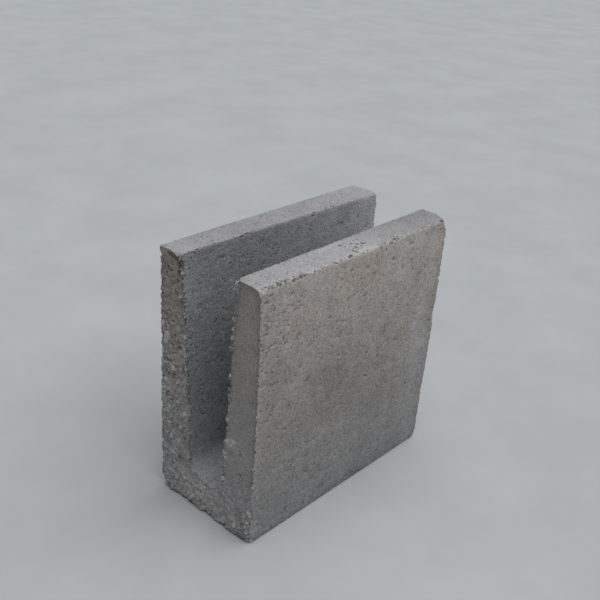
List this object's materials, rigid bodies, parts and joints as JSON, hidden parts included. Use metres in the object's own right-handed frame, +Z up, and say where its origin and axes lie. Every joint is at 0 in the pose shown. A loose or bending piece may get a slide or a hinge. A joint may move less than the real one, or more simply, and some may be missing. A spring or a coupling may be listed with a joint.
{
  "type": "concrete channel block",
  "caption": "U-shaped half block of cast concrete with drafted walls, a round-bottomed channel open at both ends, one rough broken end and worn arrises.",
  "frame": {"origin": "centre of the bed face, under the middle of the web", "axes": "+Z up from the bed to the open wall tops, +Y along the channel from the broken end to the far end, +X from the plain-ended left wall to the wall whose near end has the smooth panel"},
  "size_m": [0.09, 0.193, 0.19],
  "materials": {
    "concrete": "matte"
  },
  "bodies": {
    "root": {"u_block": "concrete"}
  },
  "joints": []
}
